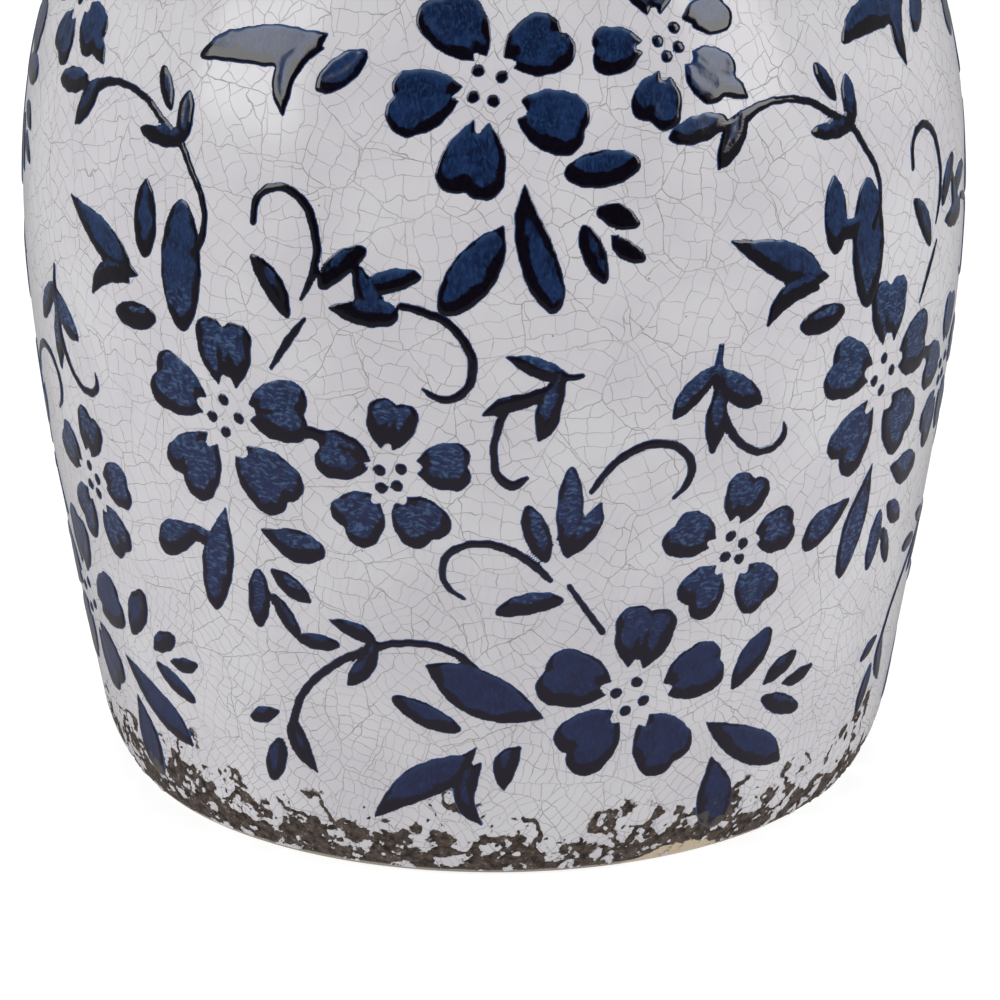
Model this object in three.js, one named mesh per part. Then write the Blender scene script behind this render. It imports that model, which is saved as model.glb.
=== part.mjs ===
// A stoneware floor vase, about 300 mm tall, as a potter builds it: a foot ring and a base slab, then three
// wall sections, a neck and a rolled lip, each seated on the one below by a tongue and groove that the slip
// fills, with a coat of crackle glaze outside and a glaze lining inside.
// Units are millimetres, +Z is up, and the origin is the centre of the foot on the surface it stands on.
import * as THREE from "three";

const SEGMENTS = 40; // facets round the axis

// The outside of the vase.
const BELLY_RADIUS = 115;
const BELLY_HEIGHT = 143; // height of the widest place
const LOWER_BEND = 10.2; // how gradually the belly turns into the straight taper below it
const LOWER_TAPER = 0.188; // slope of that taper, radius over height
const HEEL_HEIGHT = 15; // the wall is turned in below this
const HEEL_INSET = 3.6;
const SHOULDER_RISE = 130; // the height at which the shoulder's curve would close on the axis
const SHOULDER_POWER = 2.2;
const SHOULDER_TOP = 256;
const NECK_RADIUS = 46.5;
const NECK_WAIST = 274; // height of the narrowest place
const LIP_CENTRE = new THREE.Vector2(51.5, 293.8);
const LIP_HALF_WIDTH = 6.5;
const LIP_HALF_HEIGHT = 6.2; // the lip's crest is at 300
const LIP_UNDERSIDE = -Math.PI / 3; // the angle on the lip where the neck runs into it
const LIP_INNER_EDGE = Math.PI;

// Thicknesses, measured square to the surface.
const WALL = 7.2; // clay with both glazes
const GLAZE = 0.6;
const HAIR = 0.05; // between the clay and the glaze on it
const CLAY_START = GLAZE + HAIR;
const CLAY_END = WALL - CLAY_START;

// The tongue on top of each section and the groove it fits.
const TONGUE_HEIGHT = 3;
const TONGUE_START = 0.36; // shares of the wall's thickness, from the outside
const TONGUE_END = 0.64;
const SLIP_GAP = 0.3;

// The foot.
const FOOT_INNER_RADIUS = 77;
const FOOT_LEDGE_RADIUS = 74;
const SLAB_RADIUS = 84;
const SLAB_BOTTOM = 4;
const SLAB_TOP = 13;
const GLAZE_LINE = 6; // the outer glaze is wiped off below this

// Heights at which the wall is sampled. The first of each list is the joint with the section below.
const FOOT_HEIGHTS = [0, 2.5, GLAZE_LINE];
const LOWER_HEIGHTS = [SLAB_TOP, 42];
const BELLY_HEIGHTS = [75, 110, BELLY_HEIGHT];
const SHOULDER_HEIGHTS = [168, 190, 210, 228, 243];

const CLAY = new THREE.MeshStandardMaterial({ color: 0xa8927a, roughness: 0.9, metalness: 0 });
const CRACKLE_GLAZE = new THREE.MeshStandardMaterial({ color: 0xd9d7da, roughness: 0.12, metalness: 0 });

/** Radius of the outside at a height, from the foot to the top of the shoulder. */
function bodyRadius(z) {
  if (z >= BELLY_HEIGHT) {
    const rise = (z - BELLY_HEIGHT) / SHOULDER_RISE;
    return BELLY_RADIUS * (1 - rise ** SHOULDER_POWER) ** (1 / SHOULDER_POWER);
  }
  const drop = Math.hypot(LOWER_BEND, LOWER_TAPER * (BELLY_HEIGHT - z)) - LOWER_BEND;
  const heel = HEEL_INSET * Math.max(0, 1 - z / HEEL_HEIGHT) ** 2;
  return BELLY_RADIUS - drop - heel;
}

const bodyPoint = (z) => new THREE.Vector2(bodyRadius(z), z);

/** A point on the lip's rolled edge, by its angle from straight out. */
function lipPoint(angle) {
  const roll = new THREE.Vector2(LIP_HALF_WIDTH * Math.cos(angle), LIP_HALF_HEIGHT * Math.sin(angle));
  return roll.add(LIP_CENTRE);
}

/** A curve from one point to another that leaves and arrives along the two directions. */
function blend(from, leave, leaveLength, to, arrive, arriveLength) {
  const first = from.clone().addScaledVector(leave.clone().normalize(), leaveLength);
  const second = to.clone().addScaledVector(arrive.clone().normalize(), -arriveLength);
  return new THREE.CubicBezierCurve(from, first, second, to);
}

/** The outside, from the foot up and over the lip to its inner edge, with the index of each joint. */
function outsideOfVase() {
  const points = [];
  const joints = {};
  const addSection = (name, added) => {
    joints[name] = points.length;
    points.push(...added);
  };
  addSection("foot_ring", FOOT_HEIGHTS.map(bodyPoint));
  addSection("lower_wall", LOWER_HEIGHTS.map(bodyPoint));
  addSection("belly_wall", BELLY_HEIGHTS.map(bodyPoint));
  addSection("shoulder_wall", SHOULDER_HEIGHTS.map(bodyPoint));

  const up = new THREE.Vector2(0, 1);
  const top = bodyPoint(SHOULDER_TOP);
  const waist = new THREE.Vector2(NECK_RADIUS, NECK_WAIST);
  const intoNeck = blend(top, top.clone().sub(bodyPoint(SHOULDER_TOP - 0.5)), 12, waist, up, 7);
  const underside = lipPoint(LIP_UNDERSIDE);
  const intoLip = blend(waist, up, 7, underside, lipPoint(LIP_UNDERSIDE + 0.05).sub(underside), 5);
  const flare = intoLip.getPoints(3);
  addSection("neck", [...intoNeck.getPoints(3), flare[1]]);

  const rollSteps = 8;
  const roll = Array.from({ length: rollSteps + 1 }, (_, i) =>
    lipPoint(LIP_UNDERSIDE + ((LIP_INNER_EDGE - LIP_UNDERSIDE) * i) / rollSteps),
  );
  addSection("lip", [flare[2], ...roll]);
  joints.end = points.length - 1;
  return { points, joints };
}

/** The unit vector into the clay at each point of a path that keeps the clay on its left. */
function normalsInto(points) {
  return points.map((_, i) => {
    const before = points[Math.max(i - 1, 0)];
    const after = points[Math.min(i + 1, points.length - 1)];
    const along = after.clone().sub(before).normalize();
    return new THREE.Vector2(-along.y, along.x);
  });
}

const { points: outside, joints } = outsideOfVase();
const inward = normalsInto(outside);
const below = (i, depth) => outside[i].clone().addScaledVector(inward[i], depth);
const layer = (from, to, depth) =>
  outside.slice(from, to + 1).map((_, k) => below(from + k, depth));

/** The throat's path, from the lip's inner edge down to where the wall has its even thickness. */
function throatOfVase() {
  const down = new THREE.Vector2(0, -1);
  const seat = below(joints.lip, WALL);
  const arrive = new THREE.Vector2(inward[joints.lip].y, -inward[joints.lip].x).negate();
  const points = blend(outside[joints.end], down, 4, seat, arrive, 4).getPoints(3);
  const normals = normalsInto(points);
  normals[0] = inward[joints.end];
  normals[points.length - 1] = inward[joints.lip].clone().negate();
  return (depth) => points.map((p, i) => p.clone().addScaledVector(normals[i], depth));
}

const throat = throatOfVase();

/**
 * The step across the clay at a joint, from the outside in: a tongue, or with a gap the groove over it. The
 * slip gap widens the groove all round.
 */
function jointStep(i, gap) {
  const along = new THREE.Vector2(inward[i].y, -inward[i].x);
  const start = WALL * TONGUE_START - gap;
  const end = WALL * TONGUE_END + gap;
  const height = TONGUE_HEIGHT + gap;
  return [
    below(i, CLAY_START),
    below(i, start),
    below(i, start).addScaledVector(along, height),
    below(i, end).addScaledVector(along, height),
    below(i, end),
    below(i, CLAY_END),
  ];
}

/** A ring: the closed outline, with the clay on its left, turned round the axis. */
function turn(name, outline, material) {
  const onAxis = outline[0].x === 0;
  const closed = onAxis ? outline : [...outline, outline[0].clone()];
  const geometry = new THREE.LatheGeometry(closed, SEGMENTS);
  geometry.rotateX(Math.PI / 2); // the lathe turns round +Y
  const mesh = new THREE.Mesh(geometry, material);
  mesh.name = name;
  return mesh;
}

/** A wall section from one joint to the next, grooved below and tongued above. */
function wallSection(name, from, to) {
  const outer = layer(from + 1, to - 1, CLAY_START);
  const inner = layer(from + 1, to - 1, CLAY_END).reverse();
  return turn(name, [...outer, ...jointStep(to, 0), ...inner, ...jointStep(from, SLIP_GAP).reverse()], CLAY);
}

function footRing() {
  const outer = layer(0, joints.lower_wall - 1, CLAY_START);
  outer[0].y = 0; // the turned foot is flat
  const ledge = [
    new THREE.Vector2(SLAB_RADIUS + SLIP_GAP, SLAB_TOP),
    new THREE.Vector2(SLAB_RADIUS + SLIP_GAP, SLAB_BOTTOM),
    new THREE.Vector2(FOOT_LEDGE_RADIUS, SLAB_BOTTOM),
    new THREE.Vector2(FOOT_INNER_RADIUS - 1, 1),
    new THREE.Vector2(FOOT_INNER_RADIUS, 0),
  ];
  return turn("foot_ring", [...outer, ...jointStep(joints.lower_wall, 0), ...ledge], CLAY);
}

function baseSlab() {
  const outline = [
    new THREE.Vector2(0, SLAB_BOTTOM),
    new THREE.Vector2(SLAB_RADIUS, SLAB_BOTTOM),
    new THREE.Vector2(SLAB_RADIUS, SLAB_TOP),
    new THREE.Vector2(0, SLAB_TOP),
  ];
  return turn("base_slab", outline, CLAY);
}

function rolledLip() {
  const outer = layer(joints.lip + 1, joints.end, CLAY_START);
  const inner = throat(CLAY_START).slice(1, -1);
  return turn("rolled_lip", [...outer, ...inner, ...jointStep(joints.lip, SLIP_GAP).reverse()], CLAY);
}

function outerGlaze() {
  const from = FOOT_HEIGHTS.indexOf(GLAZE_LINE);
  const shown = layer(from, joints.end, 0);
  return turn("outer_glaze", [...shown, ...layer(from, joints.end, GLAZE).reverse()], CRACKLE_GLAZE);
}

function innerGlaze() {
  const wallFrom = joints.lower_wall;
  const onClay = [
    new THREE.Vector2(0, SLAB_TOP + HAIR),
    new THREE.Vector2(SLAB_RADIUS, SLAB_TOP + HAIR),
    ...layer(wallFrom, joints.lip - 1, WALL - GLAZE),
    ...throat(GLAZE).reverse(),
  ];
  const shown = [
    ...throat(0),
    ...layer(wallFrom, joints.lip - 1, WALL).reverse(),
    new THREE.Vector2(SLAB_RADIUS, SLAB_TOP + CLAY_START),
    new THREE.Vector2(0, SLAB_TOP + CLAY_START),
  ];
  return turn("inner_glaze", [...onClay, ...shown], CRACKLE_GLAZE);
}

const vase = new THREE.Group();
vase.add(
  footRing(),
  baseSlab(),
  wallSection("lower_wall", joints.lower_wall, joints.belly_wall),
  wallSection("belly_wall", joints.belly_wall, joints.shoulder_wall),
  wallSection("shoulder_wall", joints.shoulder_wall, joints.neck),
  wallSection("neck", joints.neck, joints.lip),
  rolledLip(),
  outerGlaze(),
  innerGlaze(),
);

export default vase;
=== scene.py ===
"""
A crackle-glazed stoneware vase with raised cobalt flower painting and a worn base, dressed over its CAD
frame. Shapes are worked out in millimetres and placed in metres. The front of the vase is towards -y.
"""

import math
from functools import cache

import bpy
import numpy as np
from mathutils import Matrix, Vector, noise


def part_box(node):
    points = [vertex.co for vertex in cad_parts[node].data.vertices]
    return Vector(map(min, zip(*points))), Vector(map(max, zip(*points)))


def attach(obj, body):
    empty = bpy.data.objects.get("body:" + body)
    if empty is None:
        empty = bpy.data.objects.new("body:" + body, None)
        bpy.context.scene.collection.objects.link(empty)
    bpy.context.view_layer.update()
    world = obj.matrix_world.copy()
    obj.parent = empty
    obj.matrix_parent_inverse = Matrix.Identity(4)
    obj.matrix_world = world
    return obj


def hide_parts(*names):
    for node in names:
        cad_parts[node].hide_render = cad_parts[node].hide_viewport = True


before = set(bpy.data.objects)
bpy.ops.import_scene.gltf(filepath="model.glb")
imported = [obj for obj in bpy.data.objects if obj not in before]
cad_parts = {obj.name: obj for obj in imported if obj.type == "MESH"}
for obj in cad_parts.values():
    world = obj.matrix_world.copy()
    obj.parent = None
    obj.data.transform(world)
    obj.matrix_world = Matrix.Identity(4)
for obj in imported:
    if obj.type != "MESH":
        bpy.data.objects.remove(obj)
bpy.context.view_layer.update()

MM = 0.001

# The outside of the vase, in millimetres. Its radius and height are the frame's.
CLAY_DEPTH = 0.65  # how far the clay lies under the surface of the glaze
BELLY_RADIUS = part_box("outer_glaze")[1].x / MM
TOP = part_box("rolled_lip")[1].z / MM + CLAY_DEPTH
BELLY_HEIGHT = 143.0
LOWER_BEND = 10.2
LOWER_TAPER = 0.188
HEEL_HEIGHT = 15.0
HEEL_INSET = 3.6
SHOULDER_RISE = 130.0
SHOULDER_POWER = 2.2
SHOULDER_TOP = 256.0
NECK_RADIUS = 46.5
NECK_WAIST = 274.0
LIP_HALF_WIDTH = 6.5
LIP_HALF_HEIGHT = 6.2
LIP_CENTRE = np.array([51.5, TOP - LIP_HALF_HEIGHT])
LIP_UNDERSIDE = -math.pi / 3
WALL = 7.2
GLAZE = 0.6
LINING_LIFT = 0.5  # how much thicker the lining is than the frame's, so that it covers the frame's facets
SLAB_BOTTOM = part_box("base_slab")[0].z / MM
SLAB_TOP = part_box("base_slab")[1].z / MM
SLAB_RADIUS = 84.0
FOOT_INNER_RADIUS = 77.0
SHARP_ANGLE = math.radians(55)  # edges steeper than this are shaded sharp

# The worn base.
FLAKE_BASE = 9.5  # height up to which most of the glaze is gone
FLAKE_TOP = 23.0  # height that the branching flakes reach
FLAKE_DEPTH = 0.35
GLAZE_EDGE = 1.2  # height of the lowest glaze

# The raised painting.
PAINT_CELL = 0.45  # grid that the painting is modelled on
PAINT_HEIGHT = 0.34
PAINT_EDGE = 1.3  # width over which its edge rounds down
PAINT_ROOT = 0.3  # how far it is sunk in the glaze
PAINT_RIM = -0.08  # height of its outermost edge, just under the surface of the glaze
WASH_DIP = 0.12  # how much lower it lies where the blue is thin
BROAD = 1.7  # a stroke with a greater half width than this has blue in it
LINE_SPREAD = 0.15  # how much a thinner stroke spreads as it is fired
BROAD_SPREAD = 0.03  # the same for a broad stroke
STROKE_STEP = 0.35  # distance between the points of a stroke
JOIN = 0.3  # how softly strokes that touch run together
SAG_WITH_PAINTED_SHADE = 4  # grid cells that the thin colour lies above the middle of a stroke, as the thick has run down; the dark band this leaves along each stroke's lower side is also painted shade under the raised paint
FAR = 9.0  # a distance greater than any that matters to the paint


# ---- the shape of the vase


def body_radius(z):
    """Radius of the outside at heights from the foot to the top of the shoulder."""
    rise = np.clip((z - BELLY_HEIGHT) / SHOULDER_RISE, 0, 1)
    shoulder = BELLY_RADIUS * (1 - rise**SHOULDER_POWER) ** (1 / SHOULDER_POWER)
    drop = np.hypot(LOWER_BEND, LOWER_TAPER * (BELLY_HEIGHT - z)) - LOWER_BEND
    heel = HEEL_INSET * np.clip(1 - z / HEEL_HEIGHT, 0, None) ** 2
    return np.where(z < BELLY_HEIGHT, BELLY_RADIUS - drop - heel, shoulder)


def bezier(start, leave, end, arrive, count=60):
    """Points on a cubic from start to end, whose handles there are leave and arrive."""
    t = np.linspace(0, 1, count)[:, None]
    a, b = start + leave, end - arrive
    return (1 - t) ** 3 * start + 3 * t * (1 - t) ** 2 * a + 3 * t**2 * (1 - t) * b + t**3 * end


def unit(v):
    return v / np.linalg.norm(v)


def lip_point(angle):
    """Radius and height on the lip's roll, by the angle from straight out."""
    roll = np.stack([LIP_HALF_WIDTH * np.cos(angle), LIP_HALF_HEIGHT * np.sin(angle)], -1)
    return LIP_CENTRE + roll


def outside_path():
    """The outside from the foot up and over the lip to its inner edge, as rows of radius and height."""
    z = np.linspace(0, SHOULDER_TOP, 900)
    body = np.stack([body_radius(z), z], 1)
    waist = np.array([NECK_RADIUS, NECK_WAIST])
    up = np.array([0.0, 1.0])
    into_neck = bezier(body[-1], 12 * unit(body[-1] - body[-2]), waist, 7 * up)
    underside = lip_point(LIP_UNDERSIDE)
    rolling = unit(lip_point(LIP_UNDERSIDE + 0.05) - underside)
    into_lip = bezier(waist, 7 * up, underside, 5 * rolling)
    roll = lip_point(np.linspace(LIP_UNDERSIDE, math.pi, 90))
    return np.concatenate([body, into_neck[1:], into_lip[1:], roll[1:]])


class Path:
    """A curve in the plane of radius and height, walked by its length in millimetres."""

    def __init__(self, points):
        step = np.hypot(*np.diff(points, axis=0).T)
        self.points = points
        self.length = np.concatenate([[0], np.cumsum(step)])
        tangent = np.gradient(points, self.length, axis=0)
        self.normal = np.stack([tangent[:, 1], -tangent[:, 0]], 1)
        self.normal /= np.linalg.norm(self.normal, axis=1, keepdims=True)

    @property
    def end(self):
        return self.length[-1]

    def at(self, s, lift=0.0):
        """Radius and height at lengths s, lifted that far out along the normal."""
        radius, z = (np.interp(s, self.length, column) for column in self.points.T)
        outward, upward = (np.interp(s, self.length, column) for column in self.normal.T)
        return radius + lift * outward, z + lift * upward

    def length_at_height(self, z):
        """Length at a height on the body, below the neck."""
        on_body = self.points[:, 1] <= SHOULDER_TOP
        return np.interp(z, self.points[on_body, 1], self.length[on_body])


outside = Path(outside_path())
at_height = outside.length_at_height

# The length up to which the inside of the wall follows the outside. Above it is the throat.
THROAT_START = at_height(SHOULDER_TOP) + 37.0


def unevenness(angle, z):
    """The slight waviness that the potter's hand leaves, in millimetres."""
    broad = 0.16 * np.sin(2 * angle + z / 47) + 0.1 * np.sin(3 * angle - z / 31 + 2)
    return broad + 0.05 * np.sin(7 * angle + z / 13 + 1)


def turned(radius, z, angle):
    """Places in metres, with angle 0 at the front and growing to the right."""
    return np.stack([radius * np.sin(angle), -radius * np.cos(angle), z + 0 * angle], -1) * MM


def on_glaze(s, angle, lift=0.0):
    """Places in metres on the glaze, lifted that many millimetres above it."""
    height = outside.at(s)[1]
    radius, z = outside.at(s, lift + unevenness(angle, height))
    return turned(radius, z, angle)


# ---- meshes


def add_piece(name, vertices, faces, material, replaced=()):
    """A shaded mesh object that rides on the vase."""
    mesh = bpy.data.meshes.new(name)
    mesh.from_pydata(vertices.reshape(-1, 3).tolist(), [], faces.tolist())
    mesh.shade_smooth()
    mesh.set_sharp_from_angle(angle=SHARP_ANGLE)
    mesh.materials.append(material)
    piece = bpy.data.objects.new(name, mesh)
    bpy.context.scene.collection.objects.link(piece)
    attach(piece, "root")
    if replaced:
        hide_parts(*replaced)
    return piece


def add_attribute(piece, name, values):
    attribute = piece.data.attributes.new(name, "FLOAT", "POINT")
    attribute.data.foreach_set("value", np.asarray(values, np.float32).ravel())


def ring_faces(rows, columns):
    """Quads of a profile of so many rows, closed on itself and turned round in so many columns."""
    row = np.arange(rows)[:, None]
    column = np.arange(columns)[None, :]
    above, beside = (row + 1) % rows, (column + 1) % columns
    lower = [row * columns + column, row * columns + beside]
    upper = [above * columns + beside, above * columns + column]
    return np.stack(lower + upper, -1).reshape(-1, 4)


def angles_round(columns):
    return np.arange(columns) * 2 * math.pi / columns


def turned_ring(name, profile, columns, material, replaced=()):
    """A closed outline of radius and height, with the clay on its left, turned round the axis."""
    angle = angles_round(columns)
    radius, z = np.array(profile).T
    vertices = turned(radius[:, None], z[:, None], angle[None, :])
    return add_piece(name, vertices, ring_faces(len(radius), columns), material, replaced)


def turned_disc(name, profile, columns, material, replaced=()):
    """An outline that starts and ends on the axis, turned into a solid disc."""
    angle = angles_round(columns)
    radius, z = np.array(profile[1:-1]).T
    rim = turned(radius[:, None], z[:, None], angle[None, :]).reshape(-1, 3)
    poles = np.array([[0, 0, profile[0][1]], [0, 0, profile[-1][1]]]) * MM
    quads = ring_faces(len(radius), columns)[: (len(radius) - 1) * columns]
    first = np.arange(columns)
    beside = (first + 1) % columns
    last = (len(radius) - 1) * columns
    bottom_pole = np.full(columns, len(rim))
    bottom = np.stack([bottom_pole, beside, first], 1)
    top = np.stack([bottom_pole + 1, last + first, last + beside], 1)
    faces = quads.tolist() + bottom.tolist() + top.tolist()
    vertices = np.concatenate([rim, poles])
    return add_piece(name, vertices, np.array(faces, dtype=object), material, replaced)


# ---- the glaze outside

# Shifts that keep the patterns of the flakes from following each other.
ISLAND_SHIFT = Vector((40, 0, 0))
VEIN_SHIFT = Vector((0, 60, 0))
REACH_SHIFT = Vector((0, 0, 90))


def flake_at(p):
    """How far inside a flake one place is, in millimetres. A noise of p / 6 has blotches about 6 mm wide."""
    tide = 2.0 * math.cos(2 * math.atan2(p.x, -p.y) + 1.9) + 4.0 * noise.noise(p / 19)
    height = p.z - tide
    blotch = noise.fractal(p / 6.0, 0.8, 2.1, 4)
    foot = min((FLAKE_BASE - height) / 8, 0.28) + 1.15 * blotch
    island = 2.0 * (0.36 - noise.fractal(p / 5.0 + ISLAND_SHIFT, 0.7, 2.2, 4))
    vein = 0.13 - abs(noise.fractal(p / 11 + VEIN_SHIFT, 0.8, 2.2, 4))
    reach = 1.7 * noise.noise(p / 12 + REACH_SHIFT) + (FLAKE_TOP - height) / 9 - 0.45
    speck = noise.noise(p / 1.3) - 0.5
    return max(min(foot, island), min(3.0 * vein, reach), min(2 * speck, reach))


def flake_field(places):
    """
    How far inside a flake each place is: above 0 the glaze is gone. The flakes run together round the foot,
    with islands of glaze left in them, and send branches up the wall.
    """
    return np.array([flake_at(Vector(place) / MM) for place in places.reshape(-1, 3)])


def glaze_band(name, start, end, step, columns, material, flaked=False, replaced=()):
    """The glaze between two lengths up the wall, as a closed shell."""
    rows_outside = max(2, round((end - start) / step) + 1)
    rows_inside = max(2, rows_outside // 12)
    s_outside = np.linspace(start, end, rows_outside)[:, None]
    s_inside = np.linspace(end, start, rows_inside)[:, None]
    angle = angles_round(columns)[None, :]
    lift = 0.0
    flakes = np.full((rows_outside, columns), -1.0)
    if flaked:
        flakes = flake_field(on_glaze(s_outside, angle)).reshape(rows_outside, columns)
        lift = -FLAKE_DEPTH * np.clip(0.5 + 3 * flakes, 0, 1)
    surface = on_glaze(s_outside, angle, lift)
    underside = on_glaze(s_inside, angle, -GLAZE)
    vertices = np.concatenate([surface, underside])
    faces = ring_faces(len(vertices), columns)
    piece = add_piece(name, vertices, faces, material, replaced)
    below = np.full((rows_inside, columns), -1.0)
    add_attribute(piece, "flake", np.concatenate([flakes, below]))
    return piece


# ---- brush strokes


def brush(*points):
    """A stroke through points of x, y and half width, in millimetres, as rows of many such points."""
    p = np.array(points, float)
    if len(p) == 1:
        return p
    chord = np.concatenate([[0], np.cumsum(np.hypot(*np.diff(p[:, :2], axis=0).T))])
    t = np.linspace(0, chord[-1], max(3, int(chord[-1] / STROKE_STEP)))
    slope = np.gradient(p, chord, axis=0)
    i = np.clip(np.searchsorted(chord, t, side="right") - 1, 0, len(p) - 2)
    span = (chord[i + 1] - chord[i])[:, None]
    u = ((t - chord[i]) / span[:, 0])[:, None]
    ahead = (3 - 2 * u) * u**2
    drawn = p[i] * (1 - ahead) + p[i + 1] * ahead
    drawn += span * (slope[i] * u * (1 - u) ** 2 - slope[i + 1] * u**2 * (1 - u))
    drawn[:, 2] = np.clip(drawn[:, 2], 0.15, None)
    return drawn


def leaf(start, end, half_width, bend=0.0, fullest=0.5):
    """A leaf, pointed at both ends, that bows to its left by bend."""
    start, end = np.array(start, float), np.array(end, float)
    t = np.linspace(0, 1, max(12, int(np.hypot(*(end - start)) / STROKE_STEP)))
    swell = t ** (math.log(0.5) / math.log(fullest))
    across = np.array([start[1] - end[1], end[0] - start[0]]) / np.hypot(*(end - start))
    bow = 4 * bend * t * (1 - t)
    spine = start + (end - start) * t[:, None] + across * bow[:, None]
    width = 0.2 + (half_width - 0.2) * (4 * swell * (1 - swell)) ** 0.68
    return np.column_stack([spine, width])


# How far along a dab of a petal its points are, and how far each is pushed away from the other dab.
PETAL_SPINE = [(0.0, 0.0), (0.26, 0.15), (0.58, 0.25), (1.0, 0.0)]


def petal(root, lobe_a, lobe_b):
    """
    A heart-shaped petal: two dabs side by side from the root to the two lobes, and a third between them. The
    root is x, y and half the distance between the dabs, and each lobe is x, y and radius.
    """
    root_at = np.array(root[:2])
    lobes = [np.array(lobe, float) for lobe in (lobe_a, lobe_b)]
    across = unit(lobes[0][:2] - lobes[1][:2])
    dabs = []
    for lobe, side in zip(lobes, (1, -1)):
        heel = root_at + side * across * (0.85 * root[2] - 0.3)
        spine = [heel + (lobe[:2] - heel) * t + side * across * bulge for t, bulge in PETAL_SPINE]
        widths = [0.35, 0.45 * lobe[2], 0.84 * lobe[2], lobe[2]]
        dabs.append(brush(*[(*at, width) for at, width in zip(spine, widths)]))
    middle = (lobes[0][:2] + lobes[1][:2]) / 2
    size = (lobes[0][2] + lobes[1][2]) / 2
    inner = root_at + (middle - root_at) * 0.40
    outer = root_at + (middle - root_at) * 0.92
    dabs.append(brush((*inner, 0.56 * size), (*outer, 0.86 * size)))
    return dabs


def dots(*places):
    """The round dots in the middle of a flower."""
    return [brush((x, y, 1.4)) for x, y in places]


# The groups of strokes, each round its own origin.


FLOWER_A = [
    *petal((1, 8, 3.2), (-3.1, 19.6, 4.4), (4, 19.4, 4.3)),
    *petal((-6, 2, 2.8), (-16, 9, 4.4), (-18.3, 2.9, 4.6)),
    *petal((6.8, 2.3, 2.8), (16.8, 7, 5), (17, 0.8, 4.6)),
    *petal((-4.5, -6.3, 2.6), (-15.2, -13.3, 4.2), (-9.6, -18.3, 4.9)),
    *petal((3.6, -8, 3), (14.2, -13.8, 5.2), (9.8, -17.8, 5.3)),
    *dots((-0.4, 4.2), (-3.8, -0.5), (3.6, 0.3), (-0.4, -3.8)),
]
FLOWER_B = [
    *petal((-0.6, 6.5, 2.1), (-1.2, 15.2, 3.8), (3.7, 14.4, 3.4)),
    *petal((6.5, 2.3, 2.2), (14.6, 4.9, 4), (14.7, 0.5, 3.9)),
    *petal((2.6, -6.2, 2.3), (9.6, -11.5, 4.3), (5.4, -14.2, 4.2)),
    *petal((-3.6, -6.4, 2.1), (-10.8, -10.3, 3.9), (-7, -14.9, 4.3)),
    *petal((-5, 2.2, 1.6), (-12.6, 5.9, 4.2), (-13.8, 1.9, 4.2)),
    brush((-13.5, 7, 2.6), (-17, 8.3, 1.7), (-20.5, 8.8, 1.8)),
    *dots((-2.4, 1), (2.6, 1.7), (-2.1, -3.3), (1.6, -2.6)),
]
FLOWER_C = [
    *petal((0.2, 6.2, 2.1), (1, 14.8, 3.9), (5.6, 12.9, 3.7)),
    *petal((6.8, 0.4, 2.3), (13.7, 3.6, 4), (14.5, -0.5, 3.9)),
    *petal((4.2, -7, 2.2), (10.9, -12.6, 4.1), (7, -15.5, 3.9)),
    *petal((-3.2, -5.8, 2.1), (-9.7, -9.6, 4), (-6.2, -14.2, 4.1)),
    *petal((-5.8, 1.6, 2), (-11.6, 7.2, 3.9), (-14.6, 3.6, 4)),
    *dots((-0.7, 2.6), (2.9, 0), (-1.7, -2.6), (2.3, -3.8)),
]
FLOWER_E = [
    *petal((1.1, 6.2, 2.7), (0.2, 17.9, 4.8), (6, 16.4, 4.7)),
    *petal((9.2, -0.9, 2.6), (18, 5.3, 5.2), (19.7, 0.9, 4.9)),
    *petal((4.2, -8.6, 2.5), (11.9, -16.2, 5.3), (8, -19.9, 4.9)),
    *petal((-3, -6.8, 2.6), (-12.6, -11.1, 5), (-9.3, -17.2, 5.2)),
    *petal((-5.6, 1.2, 2.6), (-15.4, 7.6, 5.2), (-17.4, 2.6, 5.2)),
    *dots((1.5, 2), (-3.4, -0.3), (3.5, -3.2), (-0.7, -5.4)),
]
FLOWER_F = [
    *petal((-3, 9.6, 2.2), (-12.3, 18, 5), (-7.5, 20, 5)),
    *petal((3.6, 8.6, 2.3), (10.2, 15, 4.9), (13.8, 10.9, 4.6)),
    *petal((5.8, -1.9, 2.9), (16.4, -3.4, 5.2), (15.4, -7.6, 4.9)),
    *petal((-2.7, -4.6, 2.4), (-8.6, -16.2, 4.4), (-2.4, -17, 5)),
    *petal((-7.5, 1.6, 2.3), (-18, 2.2, 4.7), (-19.3, -3.4, 5)),
    *dots((-3.4, 6.8), (1.8, 5.5), (-4.5, 1), (0, 0.2)),
]
FLOWER_G = [
    *petal((-3.2, 3.5, 2), (-11, 5.2, 3.5), (-11.4, 1, 3.6)),
    *petal((1.4, -3.2, 2.1), (-3.6, -9.6, 3.7), (0.8, -11.8, 3.9)),
    *petal((7.8, 0, 2.4), (15.3, -3.4, 4.2), (12.5, -7, 4)),
    *petal((8.6, 8, 2.2), (15, 9.8, 3.8), (16.6, 8.2, 3.6)),
    *petal((0.7, 10.5, 2.2), (-2, 19, 3.8), (3.5, 19.2, 3.7)),
    brush((15, -6, 3), (19, -8.3, 2.3), (21.5, -10.2, 0.6)),
    *dots((0.7, 4.4), (5.1, 7.1), (5.5, 2.6), (2.4, 0.8)),
]
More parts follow.
